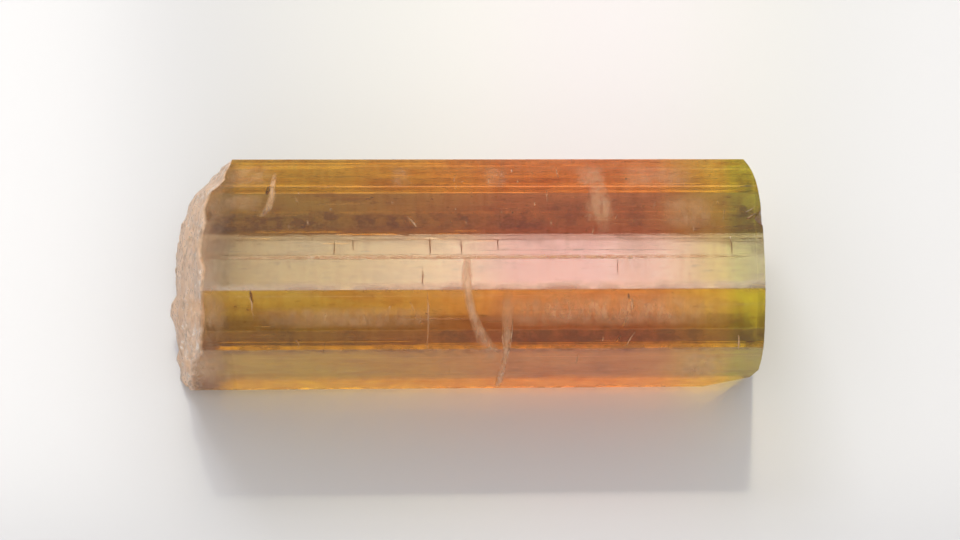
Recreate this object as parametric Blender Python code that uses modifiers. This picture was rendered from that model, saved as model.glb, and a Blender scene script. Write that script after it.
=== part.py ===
"""A loose tourmaline crystal: one clear striated prism that lies on one of its prism faces.

It grew along X. The flat, worn end is at +X and the broken end at -X. +Z is up, and the origin is at the
middle of the underside. Lengths in the constants are millimetres, and angles are degrees.
"""

import math
import random

import bmesh
import bpy
from mathutils import Matrix, Vector

MM = 0.001

# The crystal's length, from the tip of its broken end to its flat end, and how much narrower the flat end is
# than the broken one
LENGTH = 25.0
TAPER = 0.016

# Prism faces, in turn round the growth axis. Each has the way that it looks, counted from the far side (0)
# over the top (90) and the near side (180) to the underside (270), and its distance from the axis.
PRISM_FACES = (
    (17.5, 4.52),
    (61.5, 3.80),
    (73.5, 3.78),
    (83.0, 4.07),
    (88.5, 4.30),
    (146.5, 5.52),
    (153.0, 5.51),
    (192.0, 4.64),
    (228.0, 5.26),
    (270.0, 4.42),
    (308.0, 4.17),
)
RESTING_ANGLE = 270.0

# Growth ledges: low steps that run the length of each face that doesn't carry the crystal
LEDGE_SPACING = 0.95
LEDGE_HEIGHT = 0.05
LEDGE_SLOPE = 0.10
LEDGE_SEED = 11

# Broken end: it slopes back towards the upper near side, in low ledges, and is cut back further on the far
# side and at the near rim. Places along the slope and beside it are distances from the axis.
BREAK_LOOKS = 120.5
BREAK_SLOPE = 0.085
BREAK_LEDGES = (
    (-2.6, 0.10),
    (-0.9, 0.16),
    (0.9, 0.20),
    (2.7, 0.16),
    (4.2, 0.12),
)
BREAK_LEDGE_WIDTH = 0.30
BREAK_LEDGE_SWAY = 0.55
BREAK_FAR_START = 0.1
BREAK_FAR_REACH = 4.9
BREAK_FAR_DEPTH = 1.85
BREAK_FAR_POWER = 1.8
BREAK_FAR_STEP = (3.42, 0.40)
BREAK_NEAR_START = 3.9
BREAK_NEAR_DEPTH = 0.13
BREAK_LUMP = (-1.95, -2.2, 0.8, 0.42)
BREAK_RIPPLE = 0.035
BREAK_RIPPLE_LENGTH = 0.95
BREAK_CELL = 0.30
BREAK_MARGIN = 0.6

# Worn rim of the flat end: flat in the middle, then rounded down towards the far and near lower corners. The
# rounding is turned about its own axis, a little off the growth axis, and reaches furthest the wide way.
END_AXIS = (-0.43, -0.25)
END_FLAT_RADIUS = 1.6
END_CORNER_RADIUS = 5.0
END_CORNER_DEPTH = 0.68
END_ROUNDING_POWER = 5.5
END_OUTER_RADIUS = 5.6
END_WIDE_ANGLE = 130.0
END_WIDE_SCALE = 1.6
END_STEPS = 9
END_TURNS = 44

# Flats worn across the near lower corner of that rim: the side that each is on, how far it turns from the
# growth direction, and a place on it, as distances from the axis and along the crystal
END_CORNER_CUTS = (
    (210.5, 78.0, 4.93, 11.3),
    (210.5, 45.0, 4.57, 12.3),
)
END_CUT_BLOCK = 12.0

# Small chip on the rim of the flat end, high on the far side
CHIP_ANGLE = 90.0
CHIP_RADIUS = 3.78
CHIP_BACK = 0.42
CHIP_SIZE = (0.42, 0.50, 0.42)
CHIP_TILT = 32.0

# Fine cracks that cross the upper faces, each with its place along the crystal, the face that it crosses, its
# place across that face from the face's middle, and its length
CRACKS = (
    (-5.31, 83.0, 0.05, 0.62),
    (-4.54, 83.0, -0.12, 0.50),
    (-1.35, 83.0, 0.00, 0.80),
    (-0.05, 83.0, 0.08, 0.74),
    (1.46, 83.0, -0.10, 0.50),
    (11.14, 83.0, 0.00, 0.85),
    (-1.65, 88.5, 0.25, 0.60),
    (6.40, 88.5, -0.30, 0.45),
    (-7.90, 146.5, 0.45, 0.70),
    (5.85, 146.5, 0.35, 0.55),
    (3.10, 73.5, -0.80, 0.60),
    (-9.10, 73.5, 0.50, 0.55),
)
CRACK_WIDTH = 0.07
CRACK_DEPTH = 0.09
CRACK_LEAN = 6.0
CRACK_SEED = 5

CRYSTAL_COLOUR = (0.62, 0.30, 0.17, 1.0)


def clear_scene():
    """Empties the scene of every object."""
    for old in list(bpy.data.objects):
        bpy.data.objects.remove(old, do_unlink=True)


def new_collection(name):
    """Makes a collection in the scene."""
    collection = bpy.data.collections.new(name)
    bpy.context.scene.collection.children.link(collection)
    return collection


def face_corners():
    """The corners of the section, in turn, each where one prism face meets the next."""
    corners = []
    for (angle_a, dist_a), (angle_b, dist_b) in zip(PRISM_FACES, PRISM_FACES[1:] + PRISM_FACES[:1]):
        a, b = math.radians(angle_a), math.radians(angle_b)
        turn = math.sin(b - a)
        across = (dist_a * math.sin(b) - dist_b * math.sin(a)) / turn
        up = (dist_b * math.cos(a) - dist_a * math.cos(b)) / turn
        corners.append(Vector((across, up)))
    return corners


def ledged_face(start, end, looks, rng):
    """One face's points from its first corner on, with growth ledges cut a little way into it."""
    along = end - start
    width = along.length
    count = int(width / LEDGE_SPACING)
    points = [start]
    level = 0.0
    for step in range(1, count + 1):
        place = (step + rng.uniform(-0.22, 0.22)) / (count + 1)
        fresh = 0.0 if step == count else LEDGE_HEIGHT * rng.uniform(0.35, 1.0)
        for share, depth in ((place, level), (place + LEDGE_SLOPE / width, fresh)):
            points.append(start + along * share - looks * depth)
        level = fresh
    return points


def section_outline():
    """The section's outline, across and up from the growth axis, in millimetres."""
    rng = random.Random(LEDGE_SEED)
    corners = face_corners()
    outline = []
    for index, (angle, _) in enumerate(PRISM_FACES):
        start, end = corners[index - 1], corners[index]
        if angle == RESTING_ANGLE:
            outline.append(start)
            continue
        turn = math.radians(angle)
        looks = Vector((math.cos(turn), math.sin(turn)))
        outline += ledged_face(start, end, looks, rng)
    return outline


def tapered(across, up, along):
    """Where a place of the section comes to lie, in millimetres, that far along the narrowing crystal."""
    foot = min(corner.y for corner in face_corners())
    scale = 1 - TAPER * (along / LENGTH + 0.5)
    return Vector((across * scale, foot + (up - foot) * scale, along))


def section_centre():
    """Where the growth axis stands in the part's frame, across and up, in millimetres."""
    across = [corner.x for corner in face_corners()]
    up = [corner.y for corner in face_corners()]
    return Vector((-(min(across) + max(across)) / 2, -min(up)))


def axis_matrix():
    """Turns a shape drawn across, up and along into the part's frame, on the growth axis."""
    centre = section_centre()
    turn = Matrix(((0, 0, 1), (1, 0, 0), (0, 1, 0))).to_4x4()
    return Matrix.Translation(Vector((0.0, centre.x, centre.y)) * MM) @ turn


def prism(collection):
    """The prism, drawn as its outline, extruded along the growth axis and narrowed towards the flat end."""
    curve = bpy.data.curves.new("prism_outline", "CURVE")
    curve.dimensions = "2D"
    curve.fill_mode = "BOTH"
    curve.extrude = (LENGTH / 2 + 1.0) * MM
    outline = section_outline()
    spline = curve.splines.new("POLY")
    spline.points.add(len(outline) - 1)
    for point, corner in zip(spline.points, outline):
        point.co = (corner.x * MM, corner.y * MM, 0.0, 1.0)
    spline.use_cyclic_u = True
    drawn = bpy.data.objects.new("prism_outline", curve)
    drawn.matrix_world = axis_matrix()
    collection.objects.link(drawn)

    graph = bpy.context.evaluated_depsgraph_get()
    mesh = bpy.data.meshes.new_from_object(drawn.evaluated_get(graph))
    shape = bmesh.new()
    shape.from_mesh(mesh)
    bmesh.ops.remove_doubles(shape, verts=shape.verts, dist=1e-6)
    for vert in shape.verts:
        vert.co = tapered(*(vert.co / MM)) * MM
    bmesh.ops.recalc_face_normals(shape, faces=shape.faces)
    shape.to_mesh(mesh)
    shape.free()
    solid = bpy.data.objects.new("tourmaline_crystal", mesh)
    solid.matrix_world = drawn.matrix_world
    collection.objects.link(solid)
    bpy.data.objects.remove(drawn, do_unlink=True)
    return solid


def smooth_step(value):
    """Rises from 0 to 1 as value goes from -1 to 1."""
    share = min(max((value + 1) / 2, 0.0), 1.0)
    return share * share * (3 - 2 * share)


def break_depth(across, up):
    """How far the broken end lies back, before its tip is found, at a place across and up from the axis."""
    turn = math.radians(BREAK_LOOKS)
    along = across * math.cos(turn) + up * math.sin(turn)
    beside = across * math.sin(turn) - up * math.cos(turn)
    depth = BREAK_SLOPE * along
    for index, (place, rise) in enumerate(BREAK_LEDGES):
        edge = place + BREAK_LEDGE_SWAY * math.sin(beside * 0.8 + index * 1.9)
        depth += rise * smooth_step((along - edge) / BREAK_LEDGE_WIDTH)
    far = max(0.0, beside - BREAK_FAR_START) / BREAK_FAR_REACH
    depth += BREAK_FAR_DEPTH * far**BREAK_FAR_POWER
    step_place, step_rise = BREAK_FAR_STEP
    depth += step_rise * smooth_step((beside - step_place) / BREAK_LEDGE_WIDTH)
    depth += BREAK_NEAR_DEPTH * max(0.0, -beside - BREAK_NEAR_START) ** 2
    lump_beside, lump_along, lump_radius, lump_rise = BREAK_LUMP
    away = math.hypot(beside - lump_beside, along - lump_along) / lump_radius
    depth -= lump_rise * math.exp(-away * away)
    ring = math.hypot(across - 0.5, up + 3.0) / BREAK_RIPPLE_LENGTH * math.tau
    return depth - BREAK_RIPPLE * math.cos(ring)


def in_section(across, up):
    """Whether a place lies within the prism's section."""
    turns = [(math.radians(angle), distance) for angle, distance in PRISM_FACES]
    return all(across * math.cos(turn) + up * math.sin(turn) <= distance for turn, distance in turns)


def as_cutter(obj):
    """Marks an object as one that only cuts."""
    obj.hide_render = True
    obj.display_type = "WIRE"
    return obj


def break_cutter(collection):
    """A block whose inner side is the fracture surface of the broken end."""
    reach = max(corner.length for corner in face_corners()) + BREAK_MARGIN
    cells = int(2 * reach / BREAK_CELL)
    shape = bmesh.new()
    bmesh.ops.create_grid(shape, x_segments=cells, y_segments=cells, size=reach * MM)
    places = [(vert, vert.co.x / MM, vert.co.y / MM) for vert in shape.verts]
    tip = min(break_depth(across, up) for _, across, up in places if in_section(across, up))
    for vert, across, up in places:
        vert.co.z = (break_depth(across, up) - tip - LENGTH / 2) * MM
    bmesh.ops.triangulate(shape, faces=shape.faces)
    sheet = bmesh.ops.extrude_face_region(shape, geom=shape.faces[:])
    moved = [item for item in sheet["geom"] if isinstance(item, bmesh.types.BMVert)]
    bmesh.ops.translate(shape, verts=moved, vec=(0.0, 0.0, -LENGTH / 2 * MM))
    bmesh.ops.recalc_face_normals(shape, faces=shape.faces)
    mesh = bpy.data.meshes.new("broken_end_cutter")
    shape.to_mesh(mesh)
    shape.free()
    cutter = bpy.data.objects.new("broken_end_cutter", mesh)
    cutter.matrix_world = axis_matrix()
    collection.objects.link(cutter)
    return as_cutter(cutter)


def end_depth(radius):
    """How far the worn rim lies back from the flat end, at a distance from the rim's axis."""
    share = max(0.0, radius - END_FLAT_RADIUS) / (END_CORNER_RADIUS - END_FLAT_RADIUS)
    return END_CORNER_DEPTH * share**END_ROUNDING_POWER


def worn_envelope(collection):
    """A turned body that keeps the flat end and its worn rim, and clears the rest of the crystal."""
    shape = bmesh.new()
    top = LENGTH / 2
    foot = -LENGTH / 2 - 3.0
    widening = (END_OUTER_RADIUS - END_FLAT_RADIUS) / END_STEPS
    radii = [END_FLAT_RADIUS + widening * step for step in range(END_STEPS + 1)]
    profile = [(0.0, top)] + [(radius, top - end_depth(radius)) for radius in radii]
    profile += [(END_OUTER_RADIUS, foot), (0.0, foot)]
    verts = [shape.verts.new((radius * MM, 0.0, height * MM)) for radius, height in profile]
    for first, second in zip(verts, verts[1:]):
        shape.edges.new((first, second))
    mesh = bpy.data.meshes.new("worn_envelope")
    shape.to_mesh(mesh)
    shape.free()
    envelope = bpy.data.objects.new("worn_envelope", mesh)
    aside = Matrix.Translation(Vector((*END_AXIS, 0.0)) * MM)
    turn = Matrix.Rotation(math.radians(END_WIDE_ANGLE), 4, "Z")
    widened = Matrix.Diagonal((END_WIDE_SCALE, 1.0, 1.0, 1.0))
    envelope.matrix_world = axis_matrix() @ aside @ turn @ widened
    collection.objects.link(envelope)
    screw = envelope.modifiers.new("turned", "SCREW")
    screw.steps = END_TURNS
    screw.render_steps = END_TURNS
    screw.use_merge_vertices = True
    screw.merge_threshold = 0.00001
    return as_cutter(envelope)


def cube_cutter(collection, name, size, matrix):
    """A block that only cuts, placed by a matrix in the axis's own across, up and along."""
    bpy.ops.mesh.primitive_cube_add(size=MM)
    cutter = bpy.context.object
    cutter.name = name
    cutter.matrix_world = axis_matrix() @ matrix @ Matrix.Diagonal((*size, 1.0))
    for owner in list(cutter.users_collection):
        owner.objects.unlink(cutter)
    collection.objects.link(cutter)
    return as_cutter(cutter)


def corner_cutter(collection, name, side, tilt, radius, along):
    """A block whose face lies on one of the flats worn across the end's near lower corner."""
    turn, lean = math.radians(side), math.radians(tilt)
    outward = Vector((math.cos(turn), math.sin(turn), 0.0))
    looks = outward * math.sin(lean) + Vector((0.0, 0.0, math.cos(lean)))
    middle = outward * radius + Vector((0.0, 0.0, along)) + looks * END_CUT_BLOCK / 2
    matrix = Matrix.Translation(middle * MM) @ looks.to_track_quat("Z", "Y").to_matrix().to_4x4()
    return cube_cutter(collection, name, (END_CUT_BLOCK,) * 3, matrix)


def chip_cutter(collection):
    """A small tilted block that takes a chip out of the flat end's rim."""
    turn = math.radians(CHIP_ANGLE)
    place = Vector((CHIP_RADIUS * math.cos(turn), CHIP_RADIUS * math.sin(turn), LENGTH / 2 - CHIP_BACK)) * MM
    lean = Matrix.Rotation(turn, 4, "Z") @ Matrix.Rotation(math.radians(CHIP_TILT), 4, (1.0, 1.0, 0.4))
    return cube_cutter(collection, "chip_cutter", CHIP_SIZE, Matrix.Translation(place) @ lean)


def crack_cutter(collection):
    """Slivers that cut the fine cracks into the upper faces, as one body."""
    rng = random.Random(CRACK_SEED)
    corners = face_corners()
    angles = [angle for angle, _ in PRISM_FACES]
    half_turn = Matrix.Rotation(math.radians(45.0), 4, "Y")
    size = Vector((CRACK_DEPTH * math.sqrt(2), 1.0, CRACK_WIDTH / math.sqrt(2)))
    shape = bmesh.new()
    for along, looks, offset, length in CRACKS:
        index = angles.index(looks)
        start, end = corners[index - 1], corners[index]
        middle = (start + end) / 2 + (end - start).normalized() * offset
        place = Matrix.Translation(tapered(middle.x, middle.y, along) * MM)
        turn = Matrix.Rotation(math.radians(looks), 4, "Z")
        lean = Matrix.Rotation(math.radians(rng.uniform(-CRACK_LEAN, CRACK_LEAN)), 4, "X")
        sliver = place @ turn @ lean @ Matrix.Diagonal((size.x, length, size.z, 1.0)) @ half_turn
        bmesh.ops.create_cube(shape, size=MM, matrix=sliver)
    mesh = bpy.data.meshes.new("crack_cutter")
    shape.to_mesh(mesh)
    shape.free()
    cutter = bpy.data.objects.new("crack_cutter", mesh)
    cutter.matrix_world = axis_matrix()
    collection.objects.link(cutter)
    return as_cutter(cutter)


def cut(solid, name, operation, cutter):
    """Adds one exact Boolean to the crystal."""
    modifier = solid.modifiers.new(name, "BOOLEAN")
    modifier.operation = operation
    modifier.solver = "EXACT"
    modifier.object = cutter


def crystal_material():
    """Clear peach-coloured tourmaline."""
    material = bpy.data.materials.new("clear_tourmaline")
    material.use_nodes = True
    shader = material.node_tree.nodes["Principled BSDF"]
    shader.inputs["Base Color"].default_value = CRYSTAL_COLOUR
    shader.inputs["Roughness"].default_value = 0.06
    shader.inputs["Metallic"].default_value = 0.0
    shader.inputs["IOR"].default_value = 1.63
    shader.inputs["Transmission Weight"].default_value = 1.0
    return material


def main():
    """Builds the crystal."""
    clear_scene()
    parts = new_collection("tourmaline")
    cutters = new_collection("cutters")
    crystal = prism(parts)
    cut(crystal, "worn_end", "INTERSECT", worn_envelope(cutters))
    for index, place in enumerate(END_CORNER_CUTS):
        flat = corner_cutter(cutters, f"corner_cutter_{index + 1}", *place)
        cut(crystal, f"worn_flat_{index + 1}", "DIFFERENCE", flat)
    cut(crystal, "broken_end", "DIFFERENCE", break_cutter(cutters))
    cut(crystal, "rim_chip", "DIFFERENCE", chip_cutter(cutters))
    cut(crystal, "fine_cracks", "DIFFERENCE", crack_cutter(cutters))
    crystal.data.materials.append(crystal_material())


main()
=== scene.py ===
"""Tourmaline crystal: the finished look of one loose, clear crystal, with a plain stage, soft light and a camera.

The crystal grew along X. Its flat, worn end is at +X and its broken end at -X. It lies on one prism face, and
the camera looks at it from -Y and above. Lengths in the tables are millimetres, and angles are degrees.
"""

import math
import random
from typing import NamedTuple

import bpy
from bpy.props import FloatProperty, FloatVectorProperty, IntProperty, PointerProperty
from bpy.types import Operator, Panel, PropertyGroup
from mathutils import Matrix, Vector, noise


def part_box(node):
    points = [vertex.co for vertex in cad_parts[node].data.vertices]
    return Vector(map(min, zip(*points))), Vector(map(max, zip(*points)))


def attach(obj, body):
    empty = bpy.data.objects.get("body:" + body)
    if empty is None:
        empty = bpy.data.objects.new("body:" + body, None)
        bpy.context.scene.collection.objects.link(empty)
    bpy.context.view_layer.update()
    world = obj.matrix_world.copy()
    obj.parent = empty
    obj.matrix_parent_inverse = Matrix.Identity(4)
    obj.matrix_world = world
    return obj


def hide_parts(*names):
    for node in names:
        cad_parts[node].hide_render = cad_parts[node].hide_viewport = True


bl_info = {
    "name": "Tourmaline Crystal",
    "version": (1, 0, 0),
    "blender": (4, 5, 0),
    "location": "View3D > Sidebar > Tourmaline",
    "description": "Builds a loose tourmaline crystal and the plain stage that it lies on",
    "category": "Object",
}

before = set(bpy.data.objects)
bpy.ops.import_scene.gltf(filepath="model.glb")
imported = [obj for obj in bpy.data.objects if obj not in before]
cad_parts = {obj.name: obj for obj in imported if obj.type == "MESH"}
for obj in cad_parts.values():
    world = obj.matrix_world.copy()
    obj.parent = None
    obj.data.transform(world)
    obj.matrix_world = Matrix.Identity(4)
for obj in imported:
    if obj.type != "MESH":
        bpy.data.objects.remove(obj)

MM = 0.001
SOLID = "tourmaline_crystal"

# The solid's box gives the crystal's length
BOX_LOW, BOX_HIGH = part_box(SOLID)
LENGTH = round((BOX_HIGH.x - BOX_LOW.x) / MM, 2)

# The photograph's frame in pixels, and the camera: its angles, how far along the crystal it aims, and its sensor
PHOTO_WIDTH, PHOTO_HEIGHT = 960, 540
CRYSTAL_SPAN_PX = 594.5
CRYSTAL_LOWEST_ROW = 390
CAMERA_HEIGHT = 59.5
CAMERA_TURN = 0.35
CAMERA_AIM_ALONG = 0.73
SENSOR_WIDTH = 36.0

# Prism faces, as on the solid, in turn round the growth axis: the way that each looks, from the far side (0) over
# the top (90) and the near side (180) to the underside (270), and its distance from the axis
PRISM_FACES = (
    (17.5, 4.52),
    (61.5, 3.80),
    (73.5, 3.78),
    (83.0, 4.07),
    (88.5, 4.30),
    (146.5, 5.52),
    (153.0, 5.51),
    (192.0, 4.64),
    (228.0, 5.26),
    (270.0, 4.42),
    (308.0, 4.17),
)
FACE_ANGLES = [angle for angle, _ in PRISM_FACES]
FACE_LOOKS = [Vector((math.cos(math.radians(angle)), math.sin(math.radians(angle)))) for angle in FACE_ANGLES]
RESTING_FACE = FACE_ANGLES.index(270.0)
TAPER = 0.016


def linear(hex_colour):
    """Turns an sRGB hex colour into a linear one, with alpha."""
    parts = [int(hex_colour[i : i + 2], 16) / 255 for i in (1, 3, 5)]
    return tuple(p / 12.92 if p <= 0.04045 else ((p + 0.055) / 1.055) ** 2.4 for p in parts) + (1.0,)


WHITE = linear("#FFFFFF")


class CrystalSettings(PropertyGroup):
    """Sizes and colours of the crystal that a user may change."""

    line_spacing: FloatProperty(
        name="Growth line spacing",
        description="Usual distance between growth lines across a prism face",
        default=0.22 * MM,
        unit="LENGTH",
    )
    line_depth: FloatProperty(
        name="Growth line depth",
        description="Most that one growth line is cut into its face",
        default=0.003 * MM,
        unit="LENGTH",
    )
    edge_radius: FloatProperty(
        name="Edge radius",
        description="How far wear has rounded the prism's long edges",
        default=0.012 * MM,
        unit="LENGTH",
    )
    ring_spacing: FloatProperty(
        name="Ring spacing",
        description="Distance between the mesh's rings along the crystal",
        default=0.36 * MM,
        unit="LENGTH",
    )
    absorption: FloatProperty(
        name="Absorption",
        description="How strongly the crystal takes up light, per metre of path",
        default=191.0,
    )
    absorbed_tint: FloatVectorProperty(
        name="Body tint",
        description="Colour that light keeps longest inside the crystal",
        subtype="COLOR",
        size=3,
        default=(0.98, 0.82, 0.0),
    )
    flakes: IntProperty(
        name="Flakes",
        description="Small flat cracks inside the crystal",
        default=60,
    )
    sparks: IntProperty(
        name="Sparks",
        description="Short, hair-thin healed cracks at the skin",
        default=80,
    )
    growth_tubes: IntProperty(
        name="Growth tubes",
        description="Hair-thin hollow tubes along the crystal, under its upper faces",
        default=90,
    )


class StageSettings(PropertyGroup):
    """Floor, light and camera."""

    camera_height: FloatProperty(
        name="Camera angle",
        description="How far above the floor the camera looks from",
        default=math.radians(CAMERA_HEIGHT),
        subtype="ANGLE",
    )
    camera_turn: FloatProperty(
        name="Camera turn",
        description="How far the camera stands round towards the broken end",
        default=math.radians(CAMERA_TURN),
        subtype="ANGLE",
    )
    camera_distance: FloatProperty(
        name="Camera distance",
        description="From the camera to the crystal's middle",
        default=0.2,
        unit="LENGTH",
    )
    brightness: FloatProperty(
        name="Brightness",
        description="Radiance of the main light panel",
        default=7.75,
    )


def face_corners():
    """The corners of the section, in turn, each where one prism face meets the next."""
    corners = []
    for (angle_a, dist_a), (angle_b, dist_b) in zip(PRISM_FACES, PRISM_FACES[1:] + PRISM_FACES[:1]):
        a, b = math.radians(angle_a), math.radians(angle_b)
        turn = math.sin(b - a)
        across = (dist_a * math.sin(b) - dist_b * math.sin(a)) / turn
        up = (dist_b * math.cos(a) - dist_a * math.cos(b)) / turn
        corners.append(Vector((across, up)))
    return corners


CORNERS = face_corners()
FACE_WIDTHS = [(CORNERS[face] - CORNERS[face - 1]).length for face in range(len(PRISM_FACES))]
FOOT = min(corner.y for corner in CORNERS)
AXIS = Vector((-(min(c.x for c in CORNERS) + max(c.x for c in CORNERS)) / 2, -FOOT))


def tapered(across, up, along):
    """Where a place of the section comes to lie that far along the narrowing crystal."""
    scale = 1 - TAPER * (along / LENGTH + 0.5)
    return Vector((across * scale, FOOT + (up - FOOT) * scale))


def in_frame(across, up, along):
    """A place by the growth axis, in millimetres, as a point of the frame, in metres."""
    return Vector((along, across + AXIS.x, up + AXIS.y)) * MM


# Directions of the photograph's view in the section: up the picture, and towards the camera
VIEW_UP = Vector((math.sin(math.radians(CAMERA_HEIGHT)), math.cos(math.radians(CAMERA_HEIGHT))))
VIEW_BACK = Vector((-math.cos(math.radians(CAMERA_HEIGHT)), math.sin(math.radians(CAMERA_HEIGHT))))
VIEW_LOWEST = min(corner.dot(VIEW_UP) for corner in CORNERS)


def below_skin(along, rise, deep):
    """A place inside the crystal: how far along it, how high the photograph's view shows it above the crystal's
    lowest edge, and how deep below the face that it shows through. Also that face's number."""
    seen = VIEW_UP * (VIEW_LOWEST + rise)
    reach, face = min(
        ((PRISM_FACES[face][1] - looks.dot(seen)) / looks.dot(VIEW_BACK), face)
        for face, looks in enumerate(FACE_LOOKS)
        if looks.dot(VIEW_BACK) > 0
    )
    place = seen + VIEW_BACK * reach - FACE_LOOKS[face] * deep
    flat = tapered(place.x, place.y, along)
    return in_frame(flat.x, flat.y, along), face


TOURMALINE_IOR = 1.63

# The way towards the camera, how far a gap is turned from the line of sight inside the crystal, under the far, the
# near and the low faces, and the way from which on faces are near and low
VIEW_ANGLE = 180.0 - CAMERA_HEIGHT
FAR_FACE_TURN = -43.0
NEAR_FACE_TURN = 43.0
LOW_FACE_TURN = -47.0
NEAR_FACES_FROM = 100.0
LOW_FACES_FROM = 170.0


def mirror_angle(face):
    """The way that a gap has to look, in the section, to send bright light out through a face to the view: it
    stands steeply enough to the line of sight inside the crystal to reflect all of it."""
    angle = FACE_ANGLES[face]
    bent = math.degrees(math.asin(math.sin(math.radians(VIEW_ANGLE - angle)) / TOURMALINE_IOR))
    if angle > LOW_FACES_FROM:
        return angle + bent + LOW_FACE_TURN
    return angle + bent + (NEAR_FACE_TURN if angle > NEAR_FACES_FROM else FAR_FACE_TURN)


# Growth ledges, at the same places as on the solid, and as low as the photograph shows them
LEDGE_SPACING = 0.95
LEDGE_HEIGHT = 0.008
LEDGE_SLOPE = 0.10
LEDGE_DRIFT = 0.22
LEDGE_LEAST = 0.35
LEDGE_SEED = 11

# Broken end, as on the solid
BREAK_LOOKS = 120.5
BREAK_SLOPE = 0.085
BREAK_LEDGES = (
    (-2.6, 0.10),
    (-0.9, 0.16),
    (0.9, 0.20),
    (2.7, 0.16),
    (4.2, 0.12),
)
BREAK_LEDGE_WIDTH = 0.30
BREAK_LEDGE_SWAY = 0.55
BREAK_LEDGE_WAVES = (0.8, 1.9)
BREAK_FAR_START = 0.1
BREAK_FAR_REACH = 4.9
BREAK_FAR_DEPTH = 1.85
BREAK_FAR_POWER = 1.8
BREAK_FAR_STEP = (3.42, 0.40)
BREAK_NEAR_START = 3.9
BREAK_NEAR_DEPTH = 0.13
BREAK_LUMP = (-1.95, -2.2, 0.8, 0.42)
BREAK_RIPPLE = 0.035
BREAK_RIPPLE_LENGTH = 0.95
BREAK_RIPPLE_MIDDLE = (0.5, -3.0)

# Worn rim of the flat end, as on the solid
END_AXIS = (-0.43, -0.25)
END_FLAT_RADIUS = 1.6
END_CORNER_RADIUS = 5.0
END_CORNER_DEPTH = 0.68
END_ROUNDING_POWER = 5.5
END_WIDE_ANGLE = 130.0
END_WIDE_SCALE = 1.6
END_CORNER_CUTS = (
    (210.5, 78.0, 4.93, 11.3),
    (210.5, 45.0, 4.57, 12.3),
)
CHIP_ANGLE = 90.0
CHIP_RADIUS = 3.78
CHIP_REACH = 0.42
CHIP_DEPTH = 0.34

# Fine cracks that cross the two topmost faces, at the same places as on the solid: place along, face, place across
# it, length. The mesh's rings lean with a crack up to a little past its sides, in half widths
CRACKS = (
    (-5.31, 83.0, 0.05, 0.62),
    (-4.54, 83.0, -0.12, 0.50),
    (-1.35, 83.0, 0.00, 0.80),
    (-0.05, 83.0, 0.08, 0.74),
    (1.46, 83.0, -0.10, 0.50),
    (11.14, 83.0, 0.00, 0.85),
    (-1.65, 88.5, 0.25, 0.60),
    (6.40, 88.5, -0.30, 0.45),
)
CRACK_WIDTH = 0.05
CRACK_DEPTH = 0.010
CRACK_LEAN = 6.0
CRACK_REACH = 1.01
CRACK_SEED = 5


class OutlinePoint(NamedTuple):
    """One point of the crystal's outline, before growth lines and wear are cut into it."""

    place: Vector
    looks: Vector
    face: int
    run: float
    level: float
    start: float
    end: float
    edge: float


class Crack(NamedTuple):
    """A fine crack across one prism face. The lean is how far it shifts along the crystal for each millimetre
    across the face."""

    along: float
    face: int
    offset: float
    length: float
    lean: float


def ledge_levels(width, rng):
    """The growth ledges across one face, as (place across it, depth below it) in turn."""
    count = int(width / LEDGE_SPACING)
    levels = [(0.0, 0.0)]
    depth = 0.0
    for step in range(1, count + 1):
        place = (step + rng.uniform(-LEDGE_DRIFT, LEDGE_DRIFT)) / (count + 1) * width
        fresh = 0.0 if step == count else LEDGE_HEIGHT * rng.uniform(LEDGE_LEAST, 1.0)
        levels += [(place, depth), (place + LEDGE_SLOPE, fresh)]
        depth = fresh
    return levels + [(width, 0.0)]


def level_at(levels, place):
    """The depth of the ledges at a place across the face."""
    for (start, deep), (end, next_deep) in zip(levels, levels[1:]):
        if place <= end:
            share = 0.0 if end == start else (place - start) / (end - start)
            return deep + (next_deep - deep) * min(max(share, 0.0), 1.0)
    return 0.0


# Growth lines: how wide each one's side is, how much their spacing varies, how rare deep ones are, their middles
# and half lengths as shares of the crystal's length, over what length they fade out, and how far they stay from
# the edges
LINE_RISE = 0.022
LINE_SPREAD = 0.9
LINE_RARITY = 1.7
LINE_MIDDLES = (-0.6, 0.6)
LINE_REACHES = (0.12, 0.9)
LINE_FADE = 1.3
LINE_SEED = 23
EDGE_TRIM = 0.05

# The two topmost faces have no ledges and hardly any growth lines
GLOSSY_FACES = (83.0, 88.5)
GLOSSY_SHARE = 0.35


def face_points(face, levels, spacing, depth, rng):
    """The outline's points across one face: its ledges, and the growth lines between them."""
    start, looks, width = CORNERS[face - 1], FACE_LOOKS[face], FACE_WIDTHS[face]
    run = (CORNERS[face] - start).normalized()
    last_place = width - EDGE_TRIM
    places = [EDGE_TRIM]
    while places[-1] < last_place - spacing:
        places.append(places[-1] + spacing * math.exp(rng.uniform(-LINE_SPREAD, LINE_SPREAD)))
    places = [place for place in places if place < last_place - 2 * LINE_RISE] + [last_place]
    for place, _ in levels[1:-1]:
        places = [p for p in places if abs(p - place) > 3 * LINE_RISE or p in (EDGE_TRIM, last_place)]
    places = sorted(places + [place for place, _ in levels[1:-1] if EDGE_TRIM < place < last_place])
    points = []
    for first, last in zip(places, places[1:]):
        level = depth * rng.random() ** LINE_RARITY
        middle = LENGTH * rng.uniform(*LINE_MIDDLES)
        reach = LENGTH * rng.uniform(*LINE_REACHES)
        rise = min(LINE_RISE, (last - first) / 4)
        for place in (first + rise / 2, last - rise / 2):
            flat = start + run * place - looks * level_at(levels, place)
            ends = (middle - reach, middle + reach)
            points.append(OutlinePoint(flat, looks, face, place - width / 2, level, *ends, 0.0))
    return points


# Long edges with a fine groove along them: the face before each edge, and how deep the groove is
GROOVED_EDGES = {83.0: 0.006}

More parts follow.
